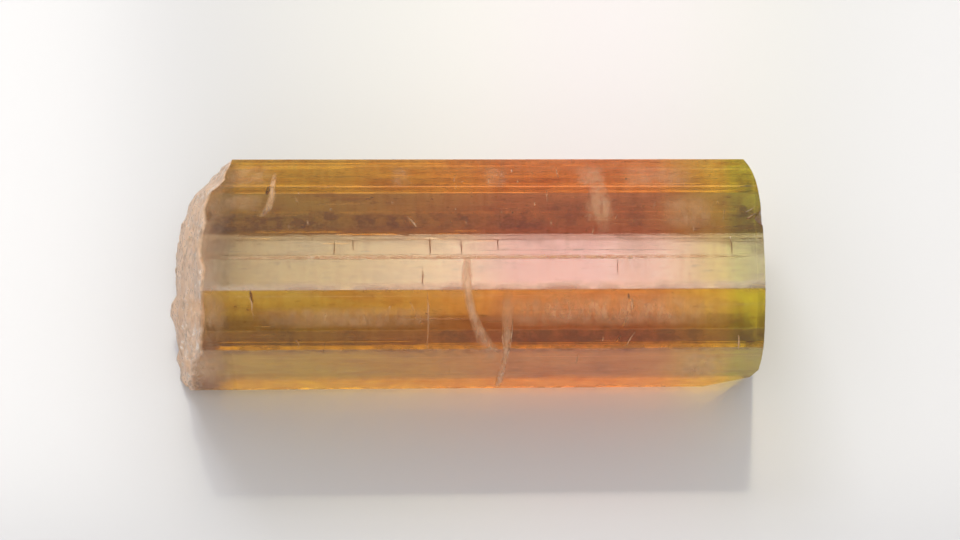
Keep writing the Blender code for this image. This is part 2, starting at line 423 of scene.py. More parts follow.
# Rounding of the other long edges: the turn from one of its points to the next, and the least share of wear
EDGE_STEP_ANGLE = 12.0
EDGE_WEAR_LEAST = 0.8


def corner_points(face, radius, rng):
    """The outline's points round the long edge where one prism face meets the next."""
    before, after = FACE_LOOKS[face], FACE_LOOKS[(face + 1) % len(PRISM_FACES)]
    turn = before.angle(after)
    middle = (before + after).normalized()
    centre = CORNERS[face] - middle * radius / math.cos(turn / 2)
    half_width = FACE_WIDTHS[face] / 2
    groove = GROOVED_EDGES.get(FACE_ANGLES[face])
    if groove:
        place = CORNERS[face] - middle * groove
        return [OutlinePoint(place, middle, face, half_width, 0.0, 0.0, 0.0, 1.0)]
    count = max(2, round(math.degrees(turn) / EDGE_STEP_ANGLE))
    points = []
    for step in range(count + 1):
        share = step / count
        looks = (before * (1 - share) + after * share).normalized()
        place = centre + looks * radius
        wear = rng.uniform(EDGE_WEAR_LEAST, 1.0)
        points.append(OutlinePoint(place, middle, face, half_width, 0.0, 0.0, 0.0, wear))
    return points


def crystal_outline(settings):
    """Every point of the section's outline, in turn."""
    ledge_rng = random.Random(LEDGE_SEED)
    rng = random.Random(LINE_SEED)
    radius = settings.edge_radius / MM
    outline = []
    for face, width in enumerate(FACE_WIDTHS):
        no_ledges = [(0.0, 0.0), (width, 0.0)]
        resting = face == RESTING_FACE
        levels = no_ledges if resting else ledge_levels(width, ledge_rng)
        depth = 0.0 if resting else settings.line_depth / MM
        if FACE_ANGLES[face] in GLOSSY_FACES:
            levels, depth = no_ledges, depth * GLOSSY_SHARE
        outline += face_points(face, levels, settings.line_spacing / MM, depth, rng)
        outline += corner_points(face, radius, rng)
    return outline


def smooth_step(value):
    """Rises from 0 to 1 as value goes from -1 to 1."""
    share = min(max((value + 1) / 2, 0.0), 1.0)
    return share * share * (3 - 2 * share)


def break_depth(across, up):
    """How far the broken end lies back, before its tip is found, at a place across and up from the axis."""
    turn = math.radians(BREAK_LOOKS)
    along = across * math.cos(turn) + up * math.sin(turn)
    beside = across * math.sin(turn) - up * math.cos(turn)
    depth = BREAK_SLOPE * along
    waves, shift = BREAK_LEDGE_WAVES
    for index, (place, rise) in enumerate(BREAK_LEDGES):
        edge = place + BREAK_LEDGE_SWAY * math.sin(beside * waves + index * shift)
        depth += rise * smooth_step((along - edge) / BREAK_LEDGE_WIDTH)
    far = max(0.0, beside - BREAK_FAR_START) / BREAK_FAR_REACH
    depth += BREAK_FAR_DEPTH * far**BREAK_FAR_POWER
    step_place, step_rise = BREAK_FAR_STEP
    depth += step_rise * smooth_step((beside - step_place) / BREAK_LEDGE_WIDTH)
    depth += BREAK_NEAR_DEPTH * max(0.0, -beside - BREAK_NEAR_START) ** 2
    lump_beside, lump_along, lump_radius, lump_rise = BREAK_LUMP
    away = math.hypot(beside - lump_beside, along - lump_along) / lump_radius
    depth -= lump_rise * math.exp(-away * away)
    away = math.hypot(across - BREAK_RIPPLE_MIDDLE[0], up - BREAK_RIPPLE_MIDDLE[1])
    ring = away / BREAK_RIPPLE_LENGTH * math.tau
    return depth - BREAK_RIPPLE * math.cos(ring)


# Grain of the broken and of the worn end: its height, and its noise's layer, cells to a millimetre, smoothness,
# step from one octave's cells to the next one's, and octaves
BREAK_GRAIN = (0.06, 3.7, 1.9, 0.9, 2.1, 4)
END_GRAIN = (0.012, 7.3, 2.3, 0.9, 2.0, 3)

# Hackle ridges of the broken end: their height, and their noise's cells to a millimetre across and up the end, in
# each of its two directions, and its layer
HACKLE_HEIGHT = 0.09
HACKLE_CELLS = ((0.9, 2.4), (-0.3, 0.5))
HACKLE_LAYER = 9.1


def grain_at(across, up, grain):
    """How far an end's grain lies back at a place across and up from the axis."""
    height, layer, cells, smoothness, step, octaves = grain
    return height * noise.fractal(Vector((across, up, layer)) * cells, smoothness, step, octaves)


def fine_break(across, up):
    """The small hackle and ripples of the fracture, too fine for the solid."""
    turned = [across * over + up * high for over, high in HACKLE_CELLS]
    return grain_at(across, up, BREAK_GRAIN) - HACKLE_HEIGHT * abs(noise.noise(Vector((*turned, HACKLE_LAYER))))


def end_depth(across, up):
    """How far the flat end's worn surface lies back from its plane at a place across and up from the axis."""
    turn = math.radians(END_WIDE_ANGLE)
    from_axis = Vector((across - END_AXIS[0], up - END_AXIS[1]))
    wide = (from_axis.x * math.cos(turn) + from_axis.y * math.sin(turn)) / END_WIDE_SCALE
    beside = from_axis.y * math.cos(turn) - from_axis.x * math.sin(turn)
    share = max(0.0, math.hypot(wide, beside) - END_FLAT_RADIUS) / (END_CORNER_RADIUS - END_FLAT_RADIUS)
    depth = END_CORNER_DEPTH * share**END_ROUNDING_POWER
    for side, tilt, radius, along in END_CORNER_CUTS:
        side, tilt = math.radians(side), math.radians(tilt)
        out = across * math.cos(side) + up * math.sin(side)
        depth = max(depth, LENGTH / 2 - along + (out - radius) * math.tan(tilt))
    turn = math.radians(CHIP_ANGLE)
    away = math.hypot(across - CHIP_RADIUS * math.cos(turn), up - CHIP_RADIUS * math.sin(turn)) / CHIP_REACH
    if away < 1:
        depth += CHIP_DEPTH * math.sqrt(1 - away)
    return depth + grain_at(across, up, END_GRAIN)


# The mesh's rings: from where on they are drawn in towards the ends, how near a crack they may come, how many
# close each end and how these narrow
SQUEEZE_FROM = 9.6
RING_CLEARANCE = 0.10
BREAK_RINGS = 46
END_RINGS = 30
END_RING_POWER = 1.15

# Nicks worn into the long edges
NICK_DEPTH = 0.003
NICK_THRESHOLD = 0.28
NICK_GROWTH = 1.6
NICKS_ALONG = 1.7
NICKS_AROUND = 3.0


def along_place(along, left, right):
    """Draws the mesh's rings in towards the two ends, where the crystal is shorter than its full length."""
    if along < -SQUEEZE_FROM:
        return -SQUEEZE_FROM + (along + SQUEEZE_FROM) * (-SQUEEZE_FROM - left) / (LENGTH / 2 - SQUEEZE_FROM)
    if along > SQUEEZE_FROM:
        return SQUEEZE_FROM + (along - SQUEEZE_FROM) * (right - SQUEEZE_FROM) / (LENGTH / 2 - SQUEEZE_FROM)
    return along


def face_cracks():
    """The fine cracks across the crystal's faces."""
    rng = random.Random(CRACK_SEED)
    leans = [math.sin(math.radians(rng.uniform(-CRACK_LEAN, CRACK_LEAN))) for _ in CRACKS]
    return [
        Crack(along, FACE_ANGLES.index(looks), offset, length, lean)
        for (along, looks, offset, length), lean in zip(CRACKS, leans)
    ]


def mesh_rings(settings, cracks):
    """The places of the mesh's rings along the crystal, with three more of them at each crack."""
    steps = round(LENGTH / (settings.ring_spacing / MM))
    plain = [-LENGTH / 2 + LENGTH * step / steps for step in range(steps + 1)]
    extra = [crack.along + CRACK_WIDTH / 2 * side for crack in cracks for side in (-1, 0, 1)]
    kept = [p for p in plain if abs(p) == LENGTH / 2 or all(abs(p - place) > RING_CLEARANCE for place in extra)]
    return sorted(kept + extra)


def crack_cut(point, along, cracks):
    """How deep a crack is at one point of the outline, and how far it pushes the point along the crystal."""
    for crack in cracks:
        beside = abs(along - crack.along) * 2 / CRACK_WIDTH
        across = (point.run - crack.offset) * 2 / crack.length
        if crack.face == point.face and beside < CRACK_REACH and abs(across) < 1:
            depth = CRACK_DEPTH * (1 - beside) * math.sqrt(1 - across * across)
            return max(depth, 0.0), crack.lean * (point.run - crack.offset)
    return 0.0, 0.0


def cut_depth(point, along):
    """How deep a growth line or a worn nick is at one point of the outline, that far along the crystal."""
    if point.edge:
        around = point.place * NICKS_AROUND
        wear = noise.noise(Vector((along * NICKS_ALONG, around.x, around.y)))
        return NICK_DEPTH * point.edge * max(0.0, wear - NICK_THRESHOLD) * NICK_GROWTH
    fade = smooth_step((along - point.start) / LINE_FADE) * smooth_step((point.end - along) / LINE_FADE)
    return point.level * fade


# Smoky patches and painted shade: the prism face, millimetres along and across it, half length, half width, and how
# dark. Those longer than the crystal are dark bands along it. The rows on face 153 are painted shade, for the dark
# band that this face shows by refraction
SMOKE_AND_PAINTED_SHADE = (
    # Painted shade: these patches along face 153 stand in for the dark band that refraction shows there
    (153.0, -7.55, 0.00, 0.62, 0.60, 1.0),
    (153.0, -4.60, 0.10, 0.60, 0.60, 0.5),
    (153.0, -0.15, 0.00, 0.80, 0.60, 1.0),
    (153.0, 2.70, 0.00, 1.10, 0.60, 1.0),
    (153.0, 4.90, 0.00, 0.90, 0.60, 1.0),
    (153.0, 7.40, 0.00, 1.30, 0.60, 1.0),
    (153.0, 9.30, 0.00, 0.70, 0.60, 0.9),
    (153.0, 11.95, 0.05, 0.56, 0.70, 1.0),
    (146.5, 0.00, -0.55, 14.0, 0.50, 0.22),
    # Painted shade: the long dark band along face 153
    (153.0, 0.00, 0.44, 14.0, 0.19, 1.0),
    (192.0, 0.00, -2.75, 14.0, 0.34, 0.9),
    (192.0, 0.00, 2.10, 14.0, 0.85, 0.4),
    (146.5, -7.60, 0.60, 0.60, 0.40, 0.8),
    (146.5, -2.60, 0.70, 0.70, 0.30, 0.5),
    (146.5, 5.90, 0.60, 0.50, 0.40, 0.4),
    (73.5, -9.20, 0.55, 1.30, 0.55, 1.0),
    (73.5, -6.60, 0.45, 1.60, 0.60, 1.0),
    (73.5, -3.40, 0.55, 1.60, 0.50, 0.8),
    (73.5, -0.60, 0.35, 1.20, 0.50, 0.8),
    (73.5, 2.20, 0.40, 1.10, 0.60, 0.8),
    (73.5, 4.30, 0.10, 0.90, 0.70, 0.6),
    (73.5, 7.30, 0.00, 0.40, 0.80, 0.5),
    (73.5, 11.90, -0.10, 0.45, 0.40, 0.9),
    (61.5, -1.20, 0.60, 2.40, 0.30, 0.5),
    (61.5, 11.80, 0.10, 0.35, 0.90, 0.4),
    (192.0, -1.30, -1.90, 1.60, 0.30, 0.5),
    (192.0, 2.20, -0.60, 0.35, 1.20, 0.5),
    (192.0, 5.80, -0.40, 0.30, 1.60, 0.4),
    (192.0, 9.80, 0.60, 0.50, 0.80, 0.3),
)


def smoke_and_shade_at(point, along):
    """How smoky the crystal is at one point of its sides, with the painted shade of face 153. A patch fades out
    softly round its border.
    """
    smoke_and_shade = 0.0
    for looks, place, offset, half_length, half_width, dark in SMOKE_AND_PAINTED_SHADE:
        if FACE_ANGLES[point.face] == looks:
            beyond = abs(along - place) / half_length
            beside = abs(point.run - offset) / half_width
            smoke_and_shade = max(smoke_and_shade, dark * smooth_step(3 - 3 * beyond) * smooth_step(3 - 3 * beside))
    return smoke_and_shade


def new_mesh(name, verts, faces, smooth, attributes):
    """Makes Blender's mesh. Its attributes are rows of name, domain and values."""
    mesh = bpy.data.meshes.new(name)
    mesh.from_pydata(verts, [], faces)
    mesh.polygons.foreach_set("use_smooth", smooth)
    for attribute, domain, values in attributes:
        mesh.attributes.new(attribute, "FLOAT", domain).data.foreach_set("value", values)
    mesh.update()
    return mesh


class Skin:
    """The crystal's growing mesh: points in the frame, faces, the growth sector of each face, and how frosted each
    point is and how smoky or darkened by painted shade."""

    def __init__(self):
        self.verts = []
        self.faces = []
        self.sectors = []
        self.smooth = []
        self.frosting = []
        self.smoke_and_shade = []

    def add_point(self, place, frosting, smoke_and_shade=0.0):
        """Adds a point and gives its number."""
        self.verts.append(place)
        self.frosting.append(frosting)
        self.smoke_and_shade.append(smoke_and_shade)
        return len(self.verts) - 1

    def add_face(self, corners, sector, smooth):
        """Adds a face of a growth sector."""
        self.faces.append(corners)
        self.sectors.append(sector)
        self.smooth.append(smooth)

    def add_shell(self, places, faces, sector, frosting):
        """Adds a gap inside the crystal: a closed body turned inside out."""
        first = len(self.verts)
        for place in places:
            self.add_point(place, frosting)
        for face in faces:
            self.add_face(tuple(first + corner for corner in reversed(face)), sector, True)

    def mesh(self, name):
        """Makes Blender's mesh."""
        sectors = [(number + 0.5) / SECTOR_COUNT for number in self.sectors]
        attributes = (
            ("growth_sector", "FACE", sectors),
            ("frosting", "POINT", self.frosting),
            ("smoke_and_shade", "POINT", self.smoke_and_shade),
        )
        return new_mesh(name, self.verts, self.faces, self.smooth, attributes)


# Growth sectors: one for each prism face, then the broken end, the worn end and the hollows inside
BROKEN_SECTOR = len(PRISM_FACES)
WORN_SECTOR = BROKEN_SECTOR + 1
HOLLOW_SECTOR = BROKEN_SECTOR + 2
SECTOR_COUNT = BROKEN_SECTOR + 3

BROKEN_FROSTING = 1.0
WORN_FROSTING = 0.25
FLAKE_FROSTING = 0.25
TUBE_FROSTING = 0.1

# Frosting of the sides near each end: how strong it is, how far from the end its middle lies, and half its fade
NEAR_BREAK_FROSTING = (0.50, 2.2, 1.4)
NEAR_END_FROSTING = (0.15, 0.6, 0.5)

# Strips rubbed dull beside long edges: the face, which side of it, how wide, and how frosted at the edge. Then how
# steeply they fade away from it
RUBBED_STRIPS = (
    (88.5, 1, 0.55, 0.60),
    (146.5, -1, 0.35, 0.60),
    (153.0, 1, 0.30, 0.90),
    (192.0, -1, 0.40, 0.90),
    (192.0, 1, 0.34, 0.90),
)
RUBBED_FADE = 2.8

# How dull wear has made the open surface of each upper and near face
FACE_FROSTING = {61.5: 0.20, 73.5: 0.20, 83.0: 0.05, 88.5: 0.05, 146.5: 0.28, 153.0: 0.24, 192.0: 0.45}


def side_frosting(along, point):
    """How frosted the sides are: faces by their wear, more so near the broken end, a little at the worn one, and
    beside the rubbed edges."""
    ends = 0.0
    for (most, middle, fade), inwards in ((NEAR_BREAK_FROSTING, along), (NEAR_END_FROSTING, -along)):
        ends += most * smooth_step((middle - LENGTH / 2 - inwards) / fade)
    rubbed = FACE_FROSTING.get(FACE_ANGLES[point.face], 0.0)
    for looks, side, width, most in RUBBED_STRIPS:
        if FACE_ANGLES[point.face] == looks:
            within = width - FACE_WIDTHS[point.face] / 2 + side * point.run
            rubbed = max(rubbed, most * smooth_step(RUBBED_FADE * within / width - 1))
    return max(ends, rubbed)


# Steps from the axis to the rim in the search for the broken end's tip
TIP_STEPS = 20


def full_break(across, up):
    """How far the broken end lies back with its fine surface, before its tip is found."""
    return break_depth(across, up) + fine_break(across, up)


def grow_skin(settings):
    """The crystal's own skin: its ribbed sides, its broken end and its worn end."""
    outline = crystal_outline(settings)
    cracks = face_cracks()
    rings = mesh_rings(settings, cracks)
    count = len(outline)
    skin = Skin()
    shares = [step / TIP_STEPS for step in range(TIP_STEPS + 1)]
    tip = min(full_break(*(point.place * share)) for point in outline for share in shares)

    def broken(across, up):
        return full_break(across, up) - tip - LENGTH / 2

    def worn(across, up):
        return LENGTH / 2 - end_depth(across, up)

    for ring in rings:
        for point in outline:
            rim = tapered(point.place.x, point.place.y, math.copysign(LENGTH / 2, ring))
            along = along_place(ring, broken(point.place.x, point.place.y), worn(rim.x, rim.y))
            crack, shift = crack_cut(point, ring, cracks)
            place = point.place - point.looks * max(cut_depth(point, along), crack)
            flat = tapered(place.x, place.y, along)
            place = in_frame(flat.x, flat.y, along + shift)
            # Each point keeps how frosted it is and how smoky, with the painted shade of face 153
            skin.add_point(place, side_frosting(along, point), smoke_and_shade_at(point, along))
    for ring in range(len(rings) - 1):
        for index, point in enumerate(outline):
            a, b = ring * count + index, ring * count + (index + 1) % count
            skin.add_face((a, b, b + count, a + count), point.face, False)
    last = (len(rings) - 1) * count
    close_end(skin, 0, count, broken, BREAK_RINGS, BROKEN_SECTOR, BROKEN_FROSTING)
    close_end(skin, last, count, worn, END_RINGS, WORN_SECTOR, WORN_FROSTING)
    return skin


def close_end(skin, first, count, depth_of, cap_rings, sector, frosting):
    """Closes one end of the skin with rings that shrink to the axis on its end surface."""
    rim = [Vector((v.y, v.z)) / MM - AXIS for v in skin.verts[first : first + count]]
    before = list(range(first, first + count))
    turned = 1 if sector == BROKEN_SECTOR else -1
    for ring in range(1, cap_rings):
        share = (1 - ring / cap_rings) ** END_RING_POWER
        fresh = []
        for place in rim:
            across, up = place * share
            fresh.append(skin.add_point(in_frame(across, up, depth_of(across, up)), frosting))
        for index in range(count):
            after = (index + 1) % count
            skin.add_face((before[index], fresh[index], fresh[after], before[after])[::turned], sector, True)
        before = fresh
    centre = skin.add_point(in_frame(0.0, 0.0, depth_of(0.0, 0.0)), frosting)
    for index in range(count):
        skin.add_face((before[index], centre, before[(index + 1) % count])[::turned], sector, True)


# Corners round a disc and round a tube, and how much of a tube's length each of its two points takes up
DISC_TURNS = 6
TUBE_TURNS = 5
TUBE_POINT = 0.06


def disc(middle, ways):
    """A closed, flat disc that is thickest in its middle. Its three half sizes are the lengths of its ways."""
    long_way, wide_way, thin_way = ways
    turns = [math.tau * step / DISC_TURNS for step in range(DISC_TURNS)]
    places = [middle + thin_way, middle - thin_way]
    places += [middle + long_way * math.cos(angle) + wide_way * math.sin(angle) for angle in turns]
    faces = []
    for step in range(DISC_TURNS):
        a, b = 2 + step, 2 + (step + 1) % DISC_TURNS
        faces += [(0, a, b), (1, b, a)]
    return places, faces


def disc_ways(face, turn, sizes, spread, rng):
    """The three half sizes of a disc under a face, as ways. It is turned to send light to the view, give or take
    a spread, and its long way stands at an angle to the crystal's length."""
    facing = math.radians(mirror_angle(face) + rng.uniform(-spread, spread))
    tilt = math.radians(rng.uniform(-spread, spread))
    looks = Vector((math.sin(tilt), math.cos(facing) * math.cos(tilt), math.sin(facing) * math.cos(tilt)))
    level = Vector((0.0, -looks.z, looks.y)).cross(looks).normalized()
    long_way = Matrix.Rotation(math.radians(turn), 3, looks) @ level
    return [way * size * MM for way, size in zip((long_way, looks.cross(long_way), looks), sizes)]


def tube(start, end, radius):
    """A closed, hair-thin tube that narrows to a point at both ends."""
    way = end - start
    side = way.orthogonal().normalized() * radius
    over = way.cross(side).normalized() * radius
    places = [start, end]
    faces = []
    for step in range(TUBE_TURNS):
        angle = math.tau * step / TUBE_TURNS
        out = side * math.cos(angle) + over * math.sin(angle)
        places += [start + way * TUBE_POINT + out, end - way * TUBE_POINT + out]
    for step in range(TUBE_TURNS):
        a, b = 2 + 2 * step, 2 + 2 * ((step + 1) % TUBE_TURNS)
        faces += [(0, b, a), (a, b, b + 1, a + 1), (a + 1, b + 1, 1)]
    return places, faces


# Where along the crystal its clear part starts and ends, how high in the view the faces above the two topmost ones
# are, and the share of the tubes and of the short cracks that they have
CLEAR_START, CLEAR_END = -11.6, 11.9
FAR_RISES = (6.4, 9.5)
FAR_SHARE = 0.7

# Flakes that stand out: place along, rise in the view, depth, half length, half width, and how far the flake's long
# way turns from the crystal's length
FLAKES = (
    (-8.15, 8.55, 0.30, 0.42, 0.10, 82.0),
    (-8.20, 7.70, 0.35, 0.30, 0.12, 70.0),
    (-7.70, 6.86, 0.25, 0.22, 0.05, 5.0),
    (-6.62, 7.00, 0.25, 0.20, 0.06, 95.0),
    (-9.10, 7.25, 0.20, 0.07, 0.04, 20.0),
    (-9.30, 6.60, 0.20, 0.07, 0.04, 60.0),
    (-8.70, 3.90, 0.30, 0.40, 0.06, 98.0),
    (-6.85, 2.05, 0.25, 0.14, 0.05, 40.0),
    (-1.95, 3.05, 0.25, 0.12, 0.04, 80.0),
    (-1.70, 2.80, 0.30, 0.10, 0.05, 15.0),
    (-1.50, 3.20, 0.25, 0.08, 0.05, 120.0),
    (4.95, 8.95, 0.20, 0.22, 0.04, 4.0),
    (5.05, 8.75, 0.25, 0.18, 0.03, 176.0),
    (6.90, 9.00, 0.20, 0.10, 0.05, 90.0),
    (2.10, 7.55, 0.20, 0.14, 0.04, 88.0),
    (7.55, 7.80, 0.20, 0.10, 0.04, 60.0),
    (6.85, 3.85, 0.25, 0.22, 0.05, 96.0),
    (6.70, 2.80, 0.25, 0.34, 0.05, 74.0),
    (6.45, 2.10, 0.25, 0.26, 0.05, 68.0),
    (-3.90, 8.20, 0.30, 0.24, 0.06, 30.0),
    (12.00, 7.30, 0.18, 0.20, 0.05, 40.0),
)
FLAKE_THICKNESS = 0.012
FLAKE_SPREAD = 9.0

# The other flakes: their rises, their least half length and what large ones have on top, their half widths as shares
# of that, their depths, and their turns, which are lengthwise or crosswise
FLAKE_RISES = (FAR_RISES, (0.5, 4.2), (0.5, 9.5))
FLAKE_HALF_LENGTH = 0.03
FLAKE_EXTRA = 0.07
FLAKE_WIDTHS = (0.2, 0.6)
FLAKE_DEPTHS = (0.15, 1.6)
FLAKE_TURNS = ((-12.0, 12.0), (60.0, 120.0))
FLAKE_SEED = 31


def add_flakes(skin, settings):
    """Cuts small flat cracks into the crystal's inside."""
    rng = random.Random(FLAKE_SEED)
    rows = list(FLAKES)
    for _ in range(settings.flakes):
        along = rng.uniform(CLEAR_START, CLEAR_END)
        rise = rng.choice([rng.uniform(*rises) for rises in FLAKE_RISES])
        size = FLAKE_HALF_LENGTH + FLAKE_EXTRA * rng.random() ** 2
        turn = rng.choice([rng.uniform(*turns) for turns in FLAKE_TURNS])
        rows.append((along, rise, rng.uniform(*FLAKE_DEPTHS), size, size * rng.uniform(*FLAKE_WIDTHS), turn))
    for along, rise, deep, half_length, half_width, turn in rows:
        middle, face = below_skin(along, rise, deep)
        sizes = (half_length, half_width, FLAKE_THICKNESS / 2)
        ways = disc_ways(face, turn, sizes, FLAKE_SPREAD, rng)
        skin.add_shell(*disc(middle, ways), HOLLOW_SECTOR, FLAKE_FROSTING)


# Growth tubes: where along the crystal they may reach, the rises of those that aren't under the far faces, their
# shortest and longest half lengths, how fast longer ones get rare, their depths and their radii
TUBE_PLACES = (-11.0, 11.6)
TUBE_NEAR_RISES = (0.4, 4.2)
TUBE_HALF_LENGTHS = (0.18, 2.4)
TUBE_RARITY = 1.9
TUBE_DEPTHS = (0.08, 0.9)
TUBE_RADII = (0.008, 0.018)
TUBE_SEED = 47


def add_growth_tubes(skin, settings):
    """Cuts hair-thin tubes along the crystal, most of them under its upper far faces."""
    rng = random.Random(TUBE_SEED)
    first, last = TUBE_PLACES
    shortest, longest = TUBE_HALF_LENGTHS
    for _ in range(settings.growth_tubes):
        rise = rng.uniform(*(FAR_RISES if rng.random() < FAR_SHARE else TUBE_NEAR_RISES))
        half = min(longest, shortest + rng.expovariate(TUBE_RARITY))
        along = rng.uniform(first + half, last - half)
        deep = rng.uniform(*TUBE_DEPTHS)
        start, _ = below_skin(along - half, rise, deep)
        end, _ = below_skin(along + half, rise, deep)
        radius = rng.uniform(*TUBE_RADII) * MM
        skin.add_shell(*tube(start, end, radius), HOLLOW_SECTOR, TUBE_FROSTING)


def add_node(tree, kind, settings=None, inputs=None):
    """Adds one shader node with its settings, and fills or links its inputs."""
    made = tree.nodes.new(kind)
    for name, value in (settings or {}).items():
        setattr(made, name, value)
    for name, value in (inputs or {}).items():
        if isinstance(value, bpy.types.NodeSocket):
            tree.links.new(value, made.inputs[name])
        else:
            made.inputs[name].default_value = value
    return made


def attribute(tree, name):
    """The value of one of the mesh's attributes."""
    return add_node(tree, "ShaderNodeAttribute", {"attribute_name": name}).outputs["Fac"]


def calculate(tree, operation, *values, clamp=False):
    """The result of a calculation with values."""
    settings = {"operation": operation, "use_clamp": clamp}
    return add_node(tree, "ShaderNodeMath", settings, dict(enumerate(values))).outputs["Value"]


def multiply(tree, first, second):
    """The product of two colours."""
    return add_node(tree, "ShaderNodeVectorMath", {"operation": "MULTIPLY"}, {0: first, 1: second}).outputs["Vector"]


def shade(tree, value, stops, interpolation="LINEAR"):
    """The colour that a ramp gives to a value. Its stops are (place, colour)."""
    ramp = add_node(tree, "ShaderNodeValToRGB", {}, {"Fac": value})
    ramp.color_ramp.interpolation = interpolation
    elements = ramp.color_ramp.elements
    elements.remove(elements[-1])
    elements[0].position, elements[0].color = stops[0]
    for place, colour in stops[1:]:
        elements.new(place).color = colour
    return ramp.outputs["Color"]


def new_material(name, surface):
    """A new material with its node tree and its shader, some of whose inputs are filled."""
    material = bpy.data.materials.new(name)
    material.use_nodes = True
    shader = material.node_tree.nodes["Principled BSDF"]
    for wanted, value in surface.items():
        shader.inputs[wanted].default_value = value
    return material, material.node_tree, shader


# Colour zones along the crystal: millimetres from its middle, and the tint of one pass through its surface
ZONES = (
    (-12.5, "#FAE0BC"),
    (-10.5, "#EEDCA8"),
    (-6.5, "#EAD898"),
    (-2.0, "#F6D09E"),
    (2.0, "#FFBEB6"),
    (5.5, "#FFBAC6"),
    (8.2, "#FFC2CA"),
    (9.6, "#FFE0B8"),
    (10.4, "#FFECA4"),
    (11.1, "#FCF09C"),
    (11.35, "#E2EC70"),
    (12.5, "#D8E860"),
)

# Growth sectors, each row from the one named up to the next row's: their tint, and how strongly the zones, the tint
# and the patterns colour them. The walls of the hollows are colourless. The darker tint of face 153's sector is
# painted shade, for the dark band that this face shows by refraction
SECTOR_COLOURS_AND_SHADE = (
    (0, "#FFFFFF", 1.0),
    (FACE_ANGLES.index(83.0), "#FFFFFF", 0.8),
    (FACE_ANGLES.index(146.5), "#FFFFFF", 0.85),
    # Painted shade: this darker tint stands in for the dark band that face 153 shows by refraction
    (FACE_ANGLES.index(153.0), "#E8C890", 0.85),
    (FACE_ANGLES.index(192.0), "#FFECDC", 1.0),
    (FACE_ANGLES.index(228.0), "#FFFFFF", 1.0),
    (BROKEN_SECTOR, "#FFF4EA", 0.4),
    (WORN_SECTOR, "#FFFFFF", 1.0),
    (HOLLOW_SECTOR, "#FFFFFF", 0.0),
)

# Noise patterns: the size of the cells along X, Y and Z in millimetres, the detail, two values, and the noise at
# which each of them is reached. Clouds are 2 to 3 mm long, streaks cross the crystal, and specks lie along it. The
# ragged one breaks up the smoke and the painted shade
CLOUDS = ((2.6, 0.8, 0.8), 5.0, 0.0, 1.0, 0.36, 0.50)
STREAKS = ((0.34, 1.9, 1.9), 4.0, 0.0, 1.0, 0.36, 0.50)
SPECKS = ((0.5, 0.13, 0.13), 2.0, 1.0, 0.0, 0.62, 0.76)
RAGGED_SMOKE_AND_SHADE = ((0.5, 0.5, 0.5), 4.0, 0.3, 1.3, 0.40, 0.60)
FROSTED_PATCHES = ((1.4, 1.0, 1.0), 4.0, 0.35, 1.25, 0.36, 0.64)
BUBBLES = ((0.3, 0.6, 0.6), 4.0, 0.0, 0.4, 0.36, 0.62)
FILM_PATCHES = ((0.25, 0.7, 0.7), 4.0, 0.35, 0.95, 0.36, 0.58)
PATTERN_ROUGHNESS = 0.6

# Olive shade of the clouds, and the shades of the pale streaks, the specks, and the smoke and painted shade
CLOUD_SHADE, STREAK_SHADE, SPECK_SHADE, SMOKE_AND_PAINTED_SHADE_COLOUR = "#E6CCB4", "#F2E2D2", "#A07850", "#9C7C44"

# Roughness of a glassy face, and what full frosting adds to it
GLASSY_ROUGHNESS = 0.012
FROSTED_ROUGHNESS = 0.42


def spread(tree, value, start, end, low, high):
    """A value's range from start to end, spread to the range from low to high."""
    span = {"Value": value, "From Min": start, "From Max": end, "To Min": low, "To Max": high}
    return add_node(tree, "ShaderNodeMapRange", {}, span).outputs["Result"]


def pattern(tree, coordinates, size, detail, low, high, noise_low, noise_high):
    """A noise pattern in an object, turned to a range of values."""
    scale = tuple(1 / (cell * MM) for cell in size)
    scaled = add_node(tree, "ShaderNodeMapping", {}, {"Vector": coordinates, "Scale": scale}).outputs["Vector"]
    looks = {"Vector": scaled, "Scale": 1.0, "Detail": detail, "Roughness": PATTERN_ROUGHNESS}
    cells = add_node(tree, "ShaderNodeTexNoise", {}, looks)
    return spread(tree, cells.outputs["Fac"], noise_low, noise_high, low, high)


